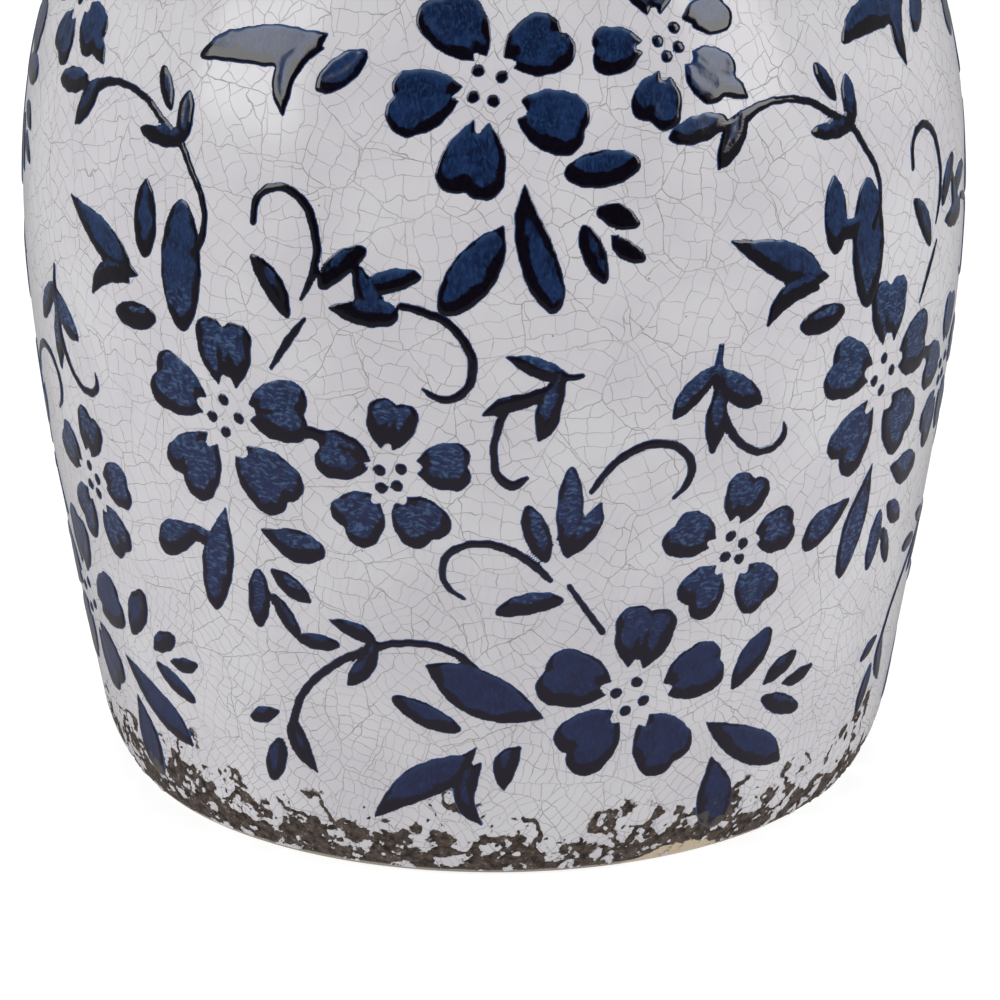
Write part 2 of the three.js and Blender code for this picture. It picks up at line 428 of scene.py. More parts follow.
WINGS = [
    brush(
        (-25.8, 9.6, 0.5), (-20, 6.7, 2.6), (-13, 3.7, 4.4), (-6.5, 0, 4.4), (-1.5, -2.6, 1.9),
        (1.7, -3.1, 0.4),
    ),
    brush((-16.2, -11.4, 0.6), (-13.7, -7.6, 2.1), (-8, -4.4, 2.8), (-3.5, -4.4, 1.9), (-1.4, -5.3, 0.4)),
    leaf((4.1, 19.8), (4.3, 2), 3.9, fullest=0.55),
    leaf((15.7, 16.8), (15.7, -13.2), 6.1),
    leaf((-6.4, -13.9), (7.1, -12.4), 3.5),
]
WINGS_JOINED = WINGS + [brush((3.5, 6.6, 2.6), (7.5, 6.6, 2.5), (11.5, 6.6, 2.6))]
ARCHED_STEM = [
    brush(
        (19.5, -31, 1.5), (22.3, -25, 1), (21.2, -17.5, 1), (17.5, -11.8, 1), (14.2, -7, 1.1),
        (8, -2.8, 1.1), (0.5, 1.7, 1), (-6.5, 3.3, 1), (-12.5, 3, 1.1), (-17.5, 1.2, 1.6),
        (-21.5, -0.8, 2),
    ),
    brush((-18.5, 0.8, 1.8), (-21.5, -3.2, 3.1), (-24, -6.8, 2.3), (-26.3, -9.8, 0.5)),
    leaf((-22.8, 1.2), (-37.2, -1.8), 3.2),
    leaf((0.2, -5.4), (13.2, -6.6), 2.2),
    brush((6, -5.6, 1.6), (9, -4.6, 1.8), (12, -5.6, 1.6)),
    leaf((13.7, 5.3), (13.9, -6), 2.6),
    leaf((4.2, 9.8), (9.3, 0.6), 2.1),
]
BIG_WING = [
    brush((-18.2, 1.6, 1), (-13, 4.2, 3.2), (-6, 5.6, 4.3), (1, 6.4, 4.9), (8, 7.2, 3.6), (12.8, 10, 0.6)),
    brush((5, 6, 3), (9.5, 6.2, 2), (12.8, 6.9, 0.4)),
    brush((5.2, -8.6, 0.5), (4.2, -4, 2.3), (4.6, 1, 3.1), (7, 5, 3)),
    leaf((12.9, -2.2), (22.6, 6.6), 3.6),
]
LONG_LEAVES = [
    brush((-9.9, 5.8, 0.4), (-13.2, 0.2, 4), (-17, -5.4, 5.4), (-20.6, -10.3, 4), (-22.3, -12.4, 2.6)),
    brush(
        (-4.9, 15.2, 0.4), (-4.6, 8, 2.7), (-2.6, 0, 4.2), (-0.4, -7, 4.1), (1.1, -11.4, 2.6),
        (1.2, -13, 1.5),
    ),
    leaf((8, 5.6), (12.9, -7.6), 2.8),
    brush((14.5, 3, 0.4), (17, 0.2, 2.2), (20, -1.8, 2), (21.6, -2.6, 1.2)),
    brush((12.6, 8.4, 1.7), (15.8, 7.4, 2.9), (19.6, 5.6, 1.5), (20.9, 5.3, 0.5)),
    leaf((4.4, 17.3), (21, 18.8), 4.3),
]
BIRD_AND_HOOK = [
    brush(
        (-24.2, 13.4, 0.85), (-23.6, 18.2, 0.9), (-20.2, 21.4, 0.95), (-15.6, 21.7, 1), (-11.6, 19, 1.1),
        (-8.9, 13, 1.1), (-8.4, 7, 1), (-9.8, 1.8, 0.85), (-12.1, -3, 0.45),
    ),
    leaf((-24.6, 5.4), (-15.6, -7.7), 2.9, bend=1),
    brush((-11.5, -7.7, 0.5), (-15, -12.5, 1), (-19.9, -20.2, 0.5)),
    leaf((3.2, 9.9), (-7.6, -0.1), 2.9, bend=-1),
    leaf((15.6, 4.3), (2.6, 0.4), 2.8, bend=-0.6),
    brush((1.5, 4.5, 1.6), (3, 0.5, 2.8), (4.5, -2.5, 3.3)),
    brush((-5.4, -4.4, 0.4), (-0.5, -4.8, 2.4), (4, -5, 3.2), (8.2, -5, 2.6), (9.8, -5.9, 0.8)),
    brush(
        (11.4, -2.7, 0.9), (16, -3.8, 1), (21, -5.8, 1.05), (25.4, -10.4, 1.1), (27.4, -16, 1.1),
        (26, -21.6, 1), (22, -24.4, 0.95), (18.6, -23.9, 0.8), (16.2, -22.2, 0.5),
    ),
]
SPRIG_DOWN = [
    brush((-5.2, 17.8, 0.3), (0, 16, 2.2), (4.6, 14, 2.4), (8.6, 12.7, 1), (12, 12.8, 0.8)),
    brush((-10.2, 4, 0.5), (-6, 6.2, 2), (-1, 7.4, 1.9), (4, 9.4, 1.5), (7.5, 12, 1.1)),
    brush((7, 11.5, 1.5), (4.8, 6.4, 2.9), (3.8, 1.6, 2.6), (2.3, -2.4, 0.5)),
    brush(
        (-5.6, 4.6, 1), (-7.2, 0, 0.9), (-7.9, -6, 0.9), (-6.8, -11, 1), (-3.4, -13.4, 1.2),
        (-0.4, -11.6, 0.6),
    ),
]
SPRIG_CURLED = [
    brush(
        (-0.7, 12.4, 0.8), (-1.2, 7.5, 1.2), (-0.9, 3, 1.4), (-0.9, 0, 1.9), (-1.2, -6, 3),
        (-1.6, -12.8, 0.9),
    ),
    leaf((-1.4, 7.4), (-11.9, -3.4), 2.9, bend=-0.8),
    brush((-0.4, 6, 1.6), (2.9, 2.4, 3.3), (6.7, -0.5, 3.3), (9.8, -2.2, 1.4)),
    brush(
        (-0.4, -2, 1), (2.4, -8, 1.1), (6.6, -13, 1), (11.4, -15.2, 1), (15.6, -14.6, 1),
        (18.1, -12.2, 0.9), (17.6, -9.3, 0.45),
    ),
]
HOOK_AND_CURL = [
    brush(
        (6.7, 12.5, 0.7), (9.6, 16.6, 0.9), (14.6, 21, 1), (20.6, 23, 1.1), (26.6, 21.8, 1.1),
        (30.6, 17, 1.1), (29.6, 12, 0.9), (26.4, 8.9, 0.45),
    ),
    leaf((-8, 9.4), (-3.4, -4.6), 3.1),
    leaf((2, 19), (1.5, -3.8), 3.2),
    brush((9, 9.4, 0.4), (7.2, 5, 2.4), (4.4, 0.8, 2.6), (1.6, -3.6, 0.5)),
    brush(
        (-21.9, -14.3, 0.45), (-25.6, -11.4, 0.7), (-27.2, -7, 0.8), (-25.6, -2.6, 0.9), (-21, -0.1, 0.9),
        (-15.6, -0.2, 1), (-9.6, -2.9, 1.05), (-5.4, -6.2, 1), (-2.3, -9.6, 0.7),
    ),
    leaf((-14.6, -18), (0.7, -15), 2.9, bend=1),
    brush((2.1, -11.4, 0.6), (6, -17.6, 0.75), (10.2, -24, 0.8)),
]
LEAF_CLUSTER = [
    brush((-12, 9.2, 0.8), (-17, 6.6, 3.2), (-21.6, 4.4, 4.4), (-23.6, 2.2, 3.2)),
    brush(
        (-3.6, 16.2, 0.3), (-5.4, 9.6, 2.8), (-7.2, 3, 4.6), (-8.9, -4, 4), (-9.9, -9.4, 2.2),
        (-10, -11, 1),
    ),
    brush((6.2, 12.6, 0.5), (10.4, 11, 2.6), (15.2, 9.8, 4.5), (19.4, 9.4, 2.9)),
    brush((8.2, 2.2, 0.9), (11, 0, 2.6), (14.2, -2.4, 2.5), (16.6, -4, 0.9)),
    leaf((4.2, 1.8), (2.4, -13.4), 3.1),
    leaf((7.4, -4), (13.2, -14.8), 2.3),
]
LEAF_CLUSTER_JOINED = LEAF_CLUSTER + [brush((-14, 7.6, 2.2), (-11, 7.2, 2.4), (-7.5, 6, 2.4))]
LOW_LEAVES = [
    brush((-13.6, 8, 0.8), (-11.2, 12, 3.2), (-8.2, 16.6, 4), (-5.6, 20.4, 2)),
    brush((-3.8, 6.8, 0.8), (-0.6, 9.4, 2.6), (2.6, 11.2, 2.4), (4.9, 12.7, 0.8)),
    brush((2.2, 5.1, 0.5), (5.4, 5.2, 1.9), (8.8, 6, 2), (11.4, 6.9, 1)),
    leaf((-4.1, 2.7), (9, -3.8), 2.8),
    brush((-19.8, -0.1, 0.3), (-14, -4.4, 2.9), (-7, -9, 4.6), (-0.6, -12.6, 4.2), (4.4, -16.4, 1.1)),
    brush(
        (-16.9, -10.2, 0.3), (-15.4, -15.6, 3), (-14.2, -21.4, 5.1), (-13.4, -26.2, 4.4),
        (-12.6, -28.4, 3),
    ),
]
LOW_ARCH = [
    brush(
        (25.2, 9.6, 1.1), (21.4, 13.4, 1), (16.4, 15.5, 0.95), (10.6, 15.9, 0.95), (4.6, 14.9, 1),
        (-1.6, 12.2, 1.05), (-8.4, 7.9, 1), (-14.2, 2.4, 0.95), (-18, -3.4, 0.95), (-20, -9.6, 1.1),
    ),
    brush((-20, -9, 1.1), (-19.6, -13, 2.6), (-17.8, -17.8, 2.5), (-14.7, -22.3, 0.4)),
    brush((-8.8, 20, 0.3), (-4.6, 18.6, 2), (-0.8, 17.2, 2.2), (2.2, 14.8, 0.8)),
    brush((2, 13.6, 1.1), (0.2, 9.6, 2.2), (-2.2, 6.4, 2.3), (-5.2, 3, 0.4)),
    brush(
        (13.9, 10.2, 0.3), (18.6, 7.8, 3.6), (24.4, 4, 6.2), (30.6, 0.8, 5.6), (36.4, -1.9, 2.8),
        (40.3, -3.6, 0.4),
    ),
    leaf((5.6, 1), (21, -6.9), 3.2, bend=-0.3),
    leaf((-17.4, 13.8), (-6.7, 13.4), 2.3),
    brush((-31, -10.8, 1.3), (-28.4, -9.4, 2.3), (-24, -7.4, 0.5)),
    leaf((-23.9, -15.2), (-27.4, -27.2), 2.9),
]
FOOT_WINGS = [
    brush(
        (-17.9, -14.2, 0.4), (-12.4, -8.4, 2.9), (-6, -3.2, 4.6), (0.6, 0.4, 3.9), (4.4, 3.6, 1.6),
        (6.7, 6.7, 0.3),
    ),
    brush((7.7, 2.4, 0.3), (5, -1.2, 2.4), (3.6, -6, 2.6), (4.6, -10.8, 2), (7.4, -14.5, 0.4)),
    brush((16.6, 6.6, 0.7), (13.8, 3.2, 2.9), (13, -1, 2.3), (12.9, -4.8, 0.4)),
]

# Each group of strokes and where it is painted: degrees round from the front, and height. The pattern comes
# four times round the vase, so a second pair stands opposite the first.
PAINTING = [
    ("flower_a", FLOWER_A, [(-32.5, 115.5), (53.3, 116.5)]),
    ("flower_b", FLOWER_B, [(-12, 106.5), (73.5, 107.5)]),
    ("flower_c", FLOWER_C, [(30, 84), (-60, 87)]),
    ("flower_e", FLOWER_E, [(17.5, 50), (-71.2, 50.5)]),
    ("flower_f", FLOWER_F, [(0, 193), (-88, 193)]),
    ("flower_g", FLOWER_G, [(20, 200), (-66.5, 200)]),
    ("wings", WINGS, [(-46, 148)]),
    ("wings_joined", WINGS_JOINED, [(41, 149)]),
    ("arched_stem", ARCHED_STEM, [(-46, 184), (40, 185)]),
    ("big_wing", BIG_WING, [(-28, 196), (58, 196)]),
    ("long_leaves", LONG_LEAVES, [(6, 160), (-86, 160.5)]),
    ("bird_and_hook", BIRD_AND_HOOK, [(-16, 150), (71, 151)]),
    ("sprig_down", SPRIG_DOWN, [(4, 118), (-87, 119)]),
    ("sprig_curled", SPRIG_CURLED, [(27, 122), (-64, 125.2)]),
    ("hook_and_curl", HOOK_AND_CURL, [(8, 90), (-81.7, 91.2)]),
    ("leaf_cluster_joined", LEAF_CLUSTER_JOINED, [(-32, 76)]),
    ("leaf_cluster", LEAF_CLUSTER, [(55, 78)]),
    ("low_leaves", LOW_LEAVES, [(40, 38), (-49, 40)]),
    ("low_arch", LOW_ARCH, [(-16, 48), (77.5, 49.5)]),
    ("foot_wings", FOOT_WINGS, [(-6, 30), (88, 30)]),
    ("shoulder_flower", FLOWER_B, [(-42, 227), (46, 228)]),
    ("shoulder_sprig", SPRIG_CURLED, [(-14, 236), (76, 236)]),
]


def merge(a, b):
    """The union of two distance fields, with a soft fillet where they meet."""
    share = np.clip(0.5 + 0.5 * (b - a) / JOIN, 0, 1)
    return b * (1 - share) + a * share - JOIN * share * (1 - share)


def stroke_field(x, y, stroke):
    """Distance to a stroke's edge, less than 0 inside it."""
    gap = [np.hypot(x - cx, y - cy) - half for cx, cy, half in stroke]
    return np.minimum.reduce(gap)


def paint_fields(strokes):
    """The grid over a group of strokes, its distance field, and how deep in a broad stroke each place is."""
    everything = np.concatenate(strokes)
    reach = everything[:, 2:] + 4 * PAINT_CELL
    low = (everything[:, :2] - reach).min(0)
    high = (everything[:, :2] + reach).max(0)
    x, y = np.meshgrid(np.arange(low[0], high[0], PAINT_CELL), np.arange(low[1], high[1], PAINT_CELL))
    waver = 0.07 * np.sin(1.3 * x + 0.9 * y) + 0.06 * np.sin(1.1 * y - 1.6 * x + 2)
    edge = np.full(x.shape, FAR)
    wash = np.zeros(x.shape)
    for stroke in strokes:
        broad = stroke[:, 2].max() > BROAD
        field = stroke_field(x, y, stroke) - (BROAD_SPREAD if broad else LINE_SPREAD)
        edge = merge(edge, field)
        if broad:
            wash = np.maximum(wash, -field)
    # Shifting the blue up leaves the dark along each stroke's lower side: paint that ran down, and also
    # painted shade under the raised paint.
    return x, y, edge + waver, np.roll(wash, SAG_WITH_PAINTED_SHADE, 0)


def snapped(x, y, edge):
    """The grid with the places outside the paint drawn in to its edge."""
    slope_y, slope_x = np.gradient(edge, PAINT_CELL)
    outside_by = np.where(edge > 0, edge, 0) / (slope_x**2 + slope_y**2 + 0.05)
    shift = np.clip(outside_by, 0, 1.4 * PAINT_CELL)
    return x - shift * slope_x, y - shift * slope_y


def depth_from_rim(x, y, edge):
    """How far each place is from the nearest unpainted one, and 0 outside the paint."""
    near = (edge >= 0) & (edge < 1.5 * PAINT_CELL)
    rim = np.stack([values[near] for values in snapped(x, y, edge)], 1)
    inside = edge < 0
    depth = np.zeros(edge.shape)
    places = np.stack([x[inside], y[inside]], 1)
    depth[inside] = [np.hypot(*(rim - place).T).min() for place in places]
    return depth


def cells_inside(edge):
    """Quads of the grid cells that hold any paint."""
    rows, columns = edge.shape
    index = np.arange(rows * columns).reshape(rows, columns)
    corners = np.stack([index[:-1, :-1], index[:-1, 1:], index[1:, 1:], index[1:, :-1]], -1)
    painted = (edge.ravel()[corners] < 0).any(-1)
    return corners[painted]


def border(quads):
    """The directed edges that only one quad has."""
    edges = np.concatenate([quads[:, [i, (i + 1) % 4]] for i in range(4)])
    known = {tuple(e) for e in edges.tolist()}
    return np.array([(a, b) for a, b in edges.tolist() if (b, a) not in known])


class Coat:
    """The flat pattern of a group of strokes: its mesh, its lift off the glaze, and its depth and wash."""

    def __init__(self, strokes):
        x, y, edge, wash = paint_fields(strokes)
        quads = cells_inside(edge)
        used = np.unique(quads)
        index = np.zeros(edge.size, int)
        index[used] = np.arange(len(used))
        self.quads = index[quads]
        self.rim = border(self.quads)
        self.x, self.y = (values.ravel()[used] for values in snapped(x, y, edge))
        self.depth = depth_from_rim(x, y, edge).ravel()[used]
        self.wash = wash.ravel()[used]
        rounding = 1 - np.clip(self.depth / PAINT_EDGE, 0, 1)
        dip = WASH_DIP * np.clip((self.wash - 1.2) / 1.5, 0, 1)
        self.lift = PAINT_HEIGHT * (1 - rounding**2) - dip
        self.lift[self.depth == 0] = PAINT_RIM

    def lay(self, name, degrees, height):
        """The coat as a closed, raised piece on the glaze."""
        s = at_height(height) + self.y
        angle = math.radians(degrees) + self.x / outside.at(s)[0]
        top = on_glaze(s, angle, self.lift)
        bottom = on_glaze(s, angle, -PAINT_ROOT)
        count = len(self.x)
        start, end = self.rim.T  # each edge of the rim runs from start to end
        sides = np.stack([end, start, start + count, end + count], 1)
        faces = np.concatenate([self.quads, self.quads[:, ::-1] + count, sides])
        piece = add_piece(name, np.concatenate([top, bottom]), faces, enamel_material())
        add_attribute(piece, "depth", np.tile(self.depth, 2))
        add_attribute(piece, "wash", np.tile(self.wash, 2))


def paint_vase():
    for name, strokes, homes in PAINTING:
        coat = Coat(strokes)
        opposite = [(degrees + 180, height) for degrees, height in homes]
        for copy, (degrees, height) in enumerate(homes + opposite):
            coat.lay(f"paint_{name}_{copy + 1}", degrees, height)


# ---- materials

# Colours, as linear red, green and blue.
CLAY_DARK = (0.020, 0.0125, 0.010, 1)
CLAY_LIGHT = (0.104, 0.077, 0.064, 1)
CLAY_SPECK = (0.32, 0.29, 0.25, 1)
CLAY_RUBBED = (0.52, 0.47, 0.40, 1)
SAND_DARK = (0.42, 0.33, 0.23, 1)
SAND_LIGHT = (0.60, 0.49, 0.36, 1)
GLAZE_GREY = (0.520, 0.506, 0.532, 1)
GLAZE_WHITE = (0.570, 0.560, 0.582, 1)
GLAZE_CRACK = (0.205, 0.190, 0.185, 1)
PINHOLE = (0.12, 0.09, 0.07, 1)
FLAKE_RIM = (0.06, 0.045, 0.035, 1)
LINING_GREY = (0.50, 0.485, 0.49, 1)
LINING_WHITE = (0.60, 0.585, 0.585, 1)
LINING_CRACK = (0.24, 0.22, 0.21, 1)
NAVY = (0.0040, 0.0095, 0.0340, 1)
COBALT = (0.0085, 0.0205, 0.0700, 1)
COBALT_FEATHER = (0.013, 0.040, 0.110, 1)
# Painted highlight: the paler blue along the edges of the thin paint, on the upper, lit side.
COBALT_EDGE_HIGHLIGHT = (0.032, 0.070, 0.150, 1)
# Painted reflection of the pale floor on the blue paint low down.
COBALT_FLOOR_REFLECTION = (0.026, 0.026, 0.066, 1)
# Painted highlight on the crests of the ripples.
COBALT_CREST_HIGHLIGHT = (0.056, 0.098, 0.190, 1)
COBALT_FRINGE = (0.055, 0.130, 0.330, 1)
INK = (0.0025, 0.0016, 0.0036, 1)
INK_FEATHER = (0.0042, 0.0034, 0.0085, 1)
# Painted reflection of the pale floor on the dark paint low down.
INK_FLOOR_REFLECTION = (0.0150, 0.0120, 0.0190, 1)
PAINT_WORN = (0.095, 0.085, 0.070, 1)

UNROLLED_RADIUS = 110.0  # radius at which the wall's crackle is rolled out
SHOULDER_SPREAD = 0.53  # how far the shoulder spreads as it is pressed flat, for each millimetre it drops
ISLAND_SIZE = 14.0  # of the areas that the long cracks close off
CRACK_ROW = 4.3
CRACK_COLUMN = 4.9
SANDY_PLACE = (42.0, -82.0, 1.0)  # the middle of a patch at the foot where the pale clay body shows


class Nodes:
    """A material's node tree, built by short calls."""

    def __init__(self, name):
        self.material = bpy.data.materials.new(name)
        self.material.use_nodes = True
        self.tree = self.material.node_tree
        self.shader = self.tree.nodes["Principled BSDF"]

    def add(self, kind, inputs=(), **settings):
        node = self.tree.nodes.new(kind)
        for key, value in settings.items():
            setattr(node, key, value)
        for key, value in dict(inputs).items():
            self.feed(node.inputs[key], value)
        return node

    def feed(self, socket, value):
        if isinstance(value, bpy.types.NodeSocket):
            self.tree.links.new(value, socket)
        else:
            socket.default_value = value

    def shade(self, **inputs):
        for key, value in inputs.items():
            self.feed(self.shader.inputs[key.replace("_", " ")], value)

    def attribute(self, name):
        return self.add("ShaderNodeAttribute", attribute_name=name).outputs["Fac"]

    def place(self):
        """The place on the object, in millimetres."""
        return self.stretched(self.add("ShaderNodeTexCoord").outputs["Object"], 1 / MM)

    def axis(self, vector, name):
        return self.add("ShaderNodeSeparateXYZ", inputs={0: vector}).outputs[name]

    def math(self, operation, a, b):
        return self.add("ShaderNodeMath", operation=operation, inputs={0: a, 1: b}).outputs[0]

    def plus(self, a, b):
        return self.math("ADD", a, b)

    def minus(self, a, b):
        return self.math("SUBTRACT", a, b)

    def times(self, a, b):
        return self.math("MULTIPLY", a, b)

    def vector_math(self, operation, inputs, output=0):
        return self.add("ShaderNodeVectorMath", operation=operation, inputs=inputs).outputs[output]

    def shift(self, vector, amount):
        return self.vector_math("ADD", {0: vector, 1: amount})

    def scaled(self, vector, factors):
        """The vector with each axis times its own factor."""
        return self.vector_math("MULTIPLY", {0: vector, 1: factors})

    def stretched(self, vector, factor):
        return self.vector_math("SCALE", {0: vector, "Scale": factor})

    def noise(self, vector, size, detail=3.0, roughness=0.55, output="Fac"):
        """Noise whose features are about size millimetres across."""
        inputs = {"Vector": vector, "Scale": 1 / size, "Detail": detail, "Roughness": roughness}
        return self.add("ShaderNodeTexNoise", inputs=inputs).outputs[output]

    def cells(self, vector, size, feature="F1", output="Distance", dimensions="3D"):
        inputs = {"Vector": vector, "Scale": 1 / size}
        settings = {"voronoi_dimensions": dimensions, "feature": feature}
        return self.add("ShaderNodeTexVoronoi", inputs=inputs, **settings).outputs[output]

    def ramp(self, value, low, high, to_low=0.0, to_high=1.0):
        inputs = {"Value": value, "From Min": low, "From Max": high, "To Min": to_low, "To Max": to_high}
        node = self.add("ShaderNodeMapRange", interpolation_type="SMOOTHSTEP", inputs=inputs)
        return node.outputs["Result"]

    def mix(self, share, a, b):
        """Colour a where share is 0 and b where it is 1."""
        node = self.add("ShaderNodeMix", data_type="RGBA")
        self.feed(node.inputs["Factor"], share)
        self.feed(node.inputs[6], a)
        self.feed(node.inputs[7], b)
        return node.outputs[2]

    def bump(self, height, depth, normal=None):
        """A bump whose height is in millimetres times depth."""
        inputs = {"Height": height, "Distance": depth * MM, "Strength": 1.0}
        if normal is not None:
            inputs["Normal"] = normal
        return self.add("ShaderNodeBump", inputs=inputs).outputs["Normal"]


def unrolled(nodes, place):
    """The wall rolled out flat: millimetres round the belly, and height."""
    turn = nodes.math("ARCTAN2", nodes.axis(place, "X"), nodes.times(nodes.axis(place, "Y"), -1.0))
    inputs = {"X": nodes.times(turn, UNROLLED_RADIUS), "Y": nodes.axis(place, "Z")}
    return nodes.add("ShaderNodeCombineXYZ", inputs=inputs).outputs[0]


def flattened(nodes, place):
    """The shoulder and neck pressed out flat, as seen from above."""
    inputs = {"X": nodes.axis(place, "X"), "Y": nodes.axis(place, "Y")}
    level = nodes.add("ShaderNodeCombineXYZ", inputs=inputs).outputs[0]
    outward = nodes.vector_math("NORMALIZE", {0: level})
    drop = nodes.times(nodes.minus(SHOULDER_TOP, nodes.axis(place, "Z")), SHOULDER_SPREAD)
    return nodes.shift(level, nodes.stretched(outward, drop))


def jostled(nodes, place, sheet, size, reach, detail=3.0):
    """The flat sheet, pushed about by noise of that size."""
    push = nodes.shift(nodes.noise(place, size, detail=detail, output="Color"), (-0.5, -0.5, -0.5))
    return nodes.shift(sheet, nodes.scaled(push, (reach, reach, 0.0)))


def cracks_every(nodes, position, spacing, softness):
    """Lines from 0 to 1 wherever the position is a multiple of the spacing."""
    distance = nodes.math("PINGPONG", position, spacing / 2)
    return nodes.ramp(distance, 0.006, softness, 1.0, 0.0)


def crackle(nodes, place, sheet):
    """
    Lines of the crackle from 0 to 1. Long cracks close off wide islands. In each island, rows of shorter
    cracks run in its own direction, crossed by others that stop at them. Near the foot they are closer.
    """
    bent = jostled(nodes, place, sheet, 10.0, 5.0)
    island_edge = nodes.cells(bent, ISLAND_SIZE, "DISTANCE_TO_EDGE", dimensions="2D")
    own = nodes.cells(bent, ISLAND_SIZE, output="Color", dimensions="2D")
    direction = nodes.times(nodes.axis(own, "X"), 2 * math.pi)
    shaken = jostled(nodes, place, bent, 6.0, 3.5, detail=1.0)
    moved = nodes.shift(shaken, nodes.scaled(own, (90.0, 70.0, 0.0)))
    inputs = {"Vector": moved, "Angle": direction}
    grid = nodes.add("ShaderNodeVectorRotate", rotation_type="Z_AXIS", inputs=inputs).outputs[0]

    across = nodes.math("DIVIDE", nodes.axis(grid, "Y"), CRACK_ROW)
    inputs = {"W": nodes.math("FLOOR", across, 0.0)}
    slip = nodes.add("ShaderNodeTexWhiteNoise", noise_dimensions="1D", inputs=inputs).outputs["Value"]
    along = nodes.plus(nodes.math("DIVIDE", nodes.axis(grid, "X"), CRACK_COLUMN), nodes.times(slip, 7.0))

    patchy_height = nodes.plus(nodes.axis(place, "Z"), nodes.times(nodes.noise(place, 22.0), 120.0))
    low_down = nodes.ramp(patchy_height, 90.0, 170.0, 0.85, 0.0)
    edges = nodes.ramp(island_edge, 0.002, 0.011, 1.0, 0.0)
    rows = nodes.times(cracks_every(nodes, across, 1.0, 0.032), 0.9)
    columns = nodes.times(cracks_every(nodes, along, 1.0, 0.028), 0.8)
    halves = nodes.times(cracks_every(nodes, along, 0.5, 0.028), low_down)
    long_cracks = nodes.math("MAXIMUM", edges, rows)
    short_cracks = nodes.math("MAXIMUM", columns, halves)
    strength = nodes.ramp(nodes.noise(place, 9.0), 0.3, 0.7, 0.55, 1.0)
    return nodes.times(nodes.math("MAXIMUM", long_cracks, short_cracks), strength)


def bare_clay(nodes, place):
    """Colour and grain of the fired clay where nothing covers it."""
    mottle = nodes.noise(place, 2.2, detail=5.0, roughness=0.7)
    colour = nodes.mix(nodes.ramp(mottle, 0.32, 0.68), CLAY_DARK, CLAY_LIGHT)
    speck = nodes.ramp(nodes.cells(place, 0.9), 0.18, 0.34, 1.0, 0.0)
    colour = nodes.mix(nodes.times(speck, nodes.ramp(mottle, 0.45, 0.75)), colour, CLAY_SPECK)

    squat = nodes.scaled(place, (1.0, 1.0, 3.5))
    away = nodes.vector_math("DISTANCE", {0: squat, 1: SANDY_PLACE}, "Value")
    frayed = nodes.times(nodes.noise(place, 5.0, detail=4.0), 22.0)
    sandy = nodes.ramp(nodes.plus(away, frayed), 24.0, 25.5, 1.0, 0.0)
    colour = nodes.mix(sandy, colour, nodes.mix(mottle, SAND_DARK, SAND_LIGHT))

    uneven_height = nodes.plus(nodes.axis(place, "Z"), nodes.times(mottle, 3.0))
    rubbed = nodes.ramp(uneven_height, 2.2, 3.2, 1.0, 0.0)
    colour = nodes.mix(nodes.times(rubbed, 0.6), colour, CLAY_RUBBED)
    grain = nodes.plus(nodes.noise(place, 0.8, detail=4.0), nodes.times(mottle, 0.8))
    return colour, grain


@cache
def glaze_material(lay_flat):
    """White crackle glaze, and bare clay where the flake attribute is above 0."""
    nodes = Nodes(f"crackle_glaze_{lay_flat.__name__}")
    place = nodes.place()
    lines = crackle(nodes, place, lay_flat(nodes, place))
    white = nodes.mix(nodes.ramp(nodes.noise(place, 26.0), 0.3, 0.7), GLAZE_GREY, GLAZE_WHITE)
    pinhole = nodes.ramp(nodes.cells(place, 9.0), 0.02, 0.035, 1.0, 0.0)
    white = nodes.mix(nodes.times(pinhole, 0.7), white, PINHOLE)
    white = nodes.mix(nodes.times(lines, 0.85), white, GLAZE_CRACK)

    clay, grain = bare_clay(nodes, place)
    ragged = nodes.minus(nodes.noise(place, 0.9, detail=4.0, roughness=0.65), 0.5)
    flake = nodes.plus(nodes.attribute("flake"), nodes.times(ragged, 0.4))
    gone = nodes.ramp(flake, -0.03, 0.03)
    rim = nodes.times(nodes.ramp(flake, -0.12, 0.0), nodes.ramp(flake, 0.0, 0.12, 1.0, 0.0))
    colour = nodes.mix(gone, white, clay)
    colour = nodes.mix(nodes.times(rim, 0.45), colour, FLAKE_RIM)

    crazing = nodes.bump(nodes.times(lines, -1.0), 0.05)
    skin = nodes.bump(nodes.noise(place, 7.0, detail=2.0), 0.10, crazing)
    rough = nodes.bump(nodes.times(grain, gone), 0.30, skin)
    roughness = nodes.ramp(gone, 0.0, 1.0, 0.16, 0.8)
    nodes.shade(Base_Color=colour, Normal=rough, Roughness=roughness, IOR=1.37)
    return nodes.material


@cache
def lining_material():
    """The glaze of the inside, whose crackle is fainter."""
    nodes = Nodes("lining_glaze")
    place = nodes.place()
    lines = crackle(nodes, place, unrolled(nodes, place))
    white = nodes.mix(nodes.ramp(nodes.noise(place, 22.0), 0.3, 0.7), LINING_GREY, LINING_WHITE)
    colour = nodes.mix(nodes.times(lines, 0.5), white, LINING_CRACK)
    skin = nodes.bump(nodes.noise(place, 8.0), 0.15)
    nodes.shade(Base_Color=colour, Normal=skin, Roughness=0.2)
    return nodes.material


@cache
def clay_material():
    """Bare fired clay."""
    nodes = Nodes("bare_clay")
    colour, grain = bare_clay(nodes, nodes.place())
    nodes.shade(Base_Color=colour, Normal=nodes.bump(grain, 0.3), Roughness=0.85)
    return nodes.material


